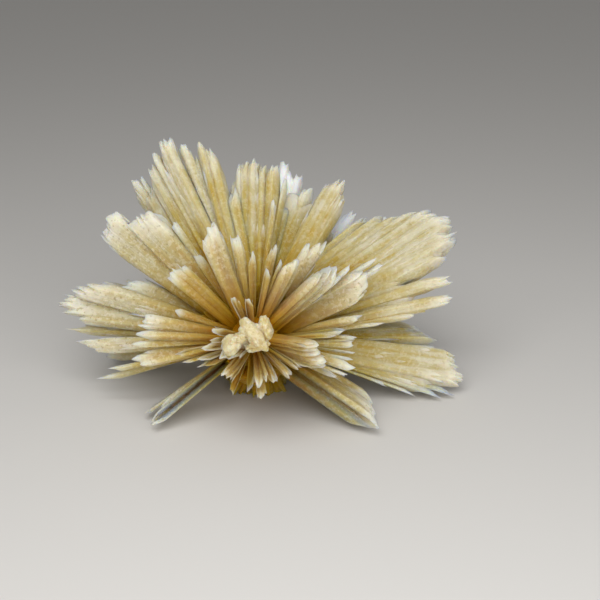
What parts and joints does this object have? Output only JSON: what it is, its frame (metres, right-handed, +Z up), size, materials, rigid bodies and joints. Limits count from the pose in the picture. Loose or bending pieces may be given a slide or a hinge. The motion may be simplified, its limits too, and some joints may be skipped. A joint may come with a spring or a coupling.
{
  "type": "calcite crystal flower",
  "caption": "Free-standing radiating rosette of honey-yellow calcite blades with pale tips, resting on a small flat spot.",
  "frame": {"origin": "middle of the small flat spot that the flower stands on", "axes": "+Z up, +X to the right along the widest spread of blades, front of the flower towards -Y"},
  "size_m": [0.0612, 0.0482, 0.0359],
  "materials": {
    "calcite": "milky translucent, satin"
  },
  "bodies": {
    "root": {"calcite_flower": "calcite"}
  },
  "joints": []
}
